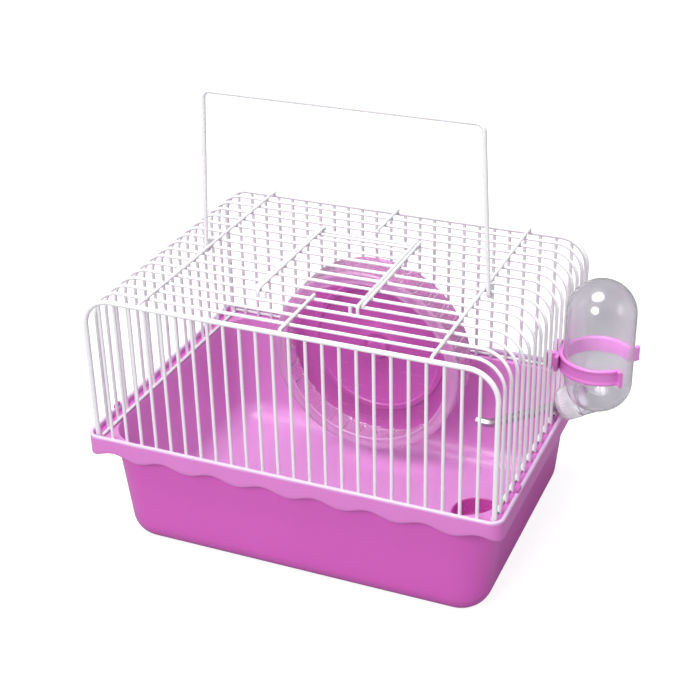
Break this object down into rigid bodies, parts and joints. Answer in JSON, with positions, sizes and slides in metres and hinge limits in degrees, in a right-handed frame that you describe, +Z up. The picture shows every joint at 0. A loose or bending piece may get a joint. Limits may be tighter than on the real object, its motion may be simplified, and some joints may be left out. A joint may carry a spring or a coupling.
{
  "type": "hamster cage",
  "caption": "Hamster cage: plastic tray, lift-off wire top with roof door and carrying handle, exercise wheel, clip-on water bottle and food bowl.",
  "frame": {"origin": "on the floor under the middle of the wire top and the tray", "axes": "+X to the side that carries the water bottle, +Y to the rear wall with the wheel, +Z up"},
  "size_m": [0.3017, 0.1946, 0.2725],
  "materials": {
    "tray_plastic": "glossy pink",
    "white_wire": "glossy white enamel",
    "wheel_plastic": "translucent pink",
    "wheel_back_plastic": "glossy deep pink",
    "bright_steel": "polished",
    "clear_plastic": "clear",
    "seal_rubber": "soft matte",
    "bowl_plastic": "glossy hot pink"
  },
  "bodies": {
    "tray": {"tray": "tray_plastic"},
    "wire_top": {"front_arch": "white_wire", "rear_arch": "white_wire", "front_roof_arches": "white_wire", "rear_roof_arches": "white_wire", "left_cut_arches": "white_wire", "right_cut_arches": "white_wire", "front_bars": "white_wire", "rear_bars": "white_wire", "front_base_wire": "white_wire", "rear_base_wire": "white_wire", "left_base_wire": "white_wire", "right_base_wire": "white_wire", "left_roof_rail": "white_wire", "right_roof_rail": "white_wire", "front_centre_wire": "white_wire", "rear_centre_wire": "white_wire", "left_opening_rail": "white_wire", "right_opening_rail": "white_wire", "wheel_axle": "bright_steel", "axle_washer": "bright_steel", "wheel_bracket": "tray_plastic", "wing_nut": "tray_plastic", "bottle_holder": "tray_plastic"},
    "roof_door": {"door_side_wires": "white_wire", "door_cross_wires": "white_wire"},
    "handle": {"carry_handle": "white_wire"},
    "wheel": {"wheel_drum": "wheel_plastic", "wheel_back": "wheel_back_plastic"},
    "bottle": {"bottle_body": "clear_plastic", "bottle_cap": "clear_plastic", "cap_seal": "seal_rubber", "spout_tube": "bright_steel"},
    "drinking_ball": {"spout_ball": "bright_steel"},
    "bowl": {"food_bowl": "bowl_plastic"}
  },
  "joints": [
    {"name": "wire_top_lift", "type": "slide", "parent": "tray", "child": "wire_top", "axis": [0, 0, 1], "range_m": [0, 0.12]},
    {"name": "door_hinge", "type": "hinge", "parent": "wire_top", "child": "roof_door", "pos_m": [0, 0.0448, 0.1707], "axis": [-1, 0, 0], "range_deg": [0, 105]},
    {"name": "handle_hinge", "type": "hinge", "parent": "wire_top", "child": "handle", "pos_m": [0, 0, 0.1707], "axis": [1, 0, 0], "range_deg": [-75, 60]},
    {"name": "wheel_spin", "type": "hinge", "parent": "wire_top", "child": "wheel", "pos_m": [0, 0.055, 0.0905], "axis": [0, 1, 0], "continuous": true},
    {"name": "bottle_lift", "type": "slide", "parent": "wire_top", "child": "bottle", "axis": [0, 0, 1], "range_m": [0, 0.012]},
    {"name": "ball_press", "type": "slide", "parent": "bottle", "child": "drinking_ball", "axis": [0.9962, 0, -0.0872], "range_m": [0, 0.0015]},
    {"name": "bowl_lift", "type": "slide", "parent": "tray", "child": "bowl", "axis": [0, 0, 1], "range_m": [0, 0.03]}
  ]
}
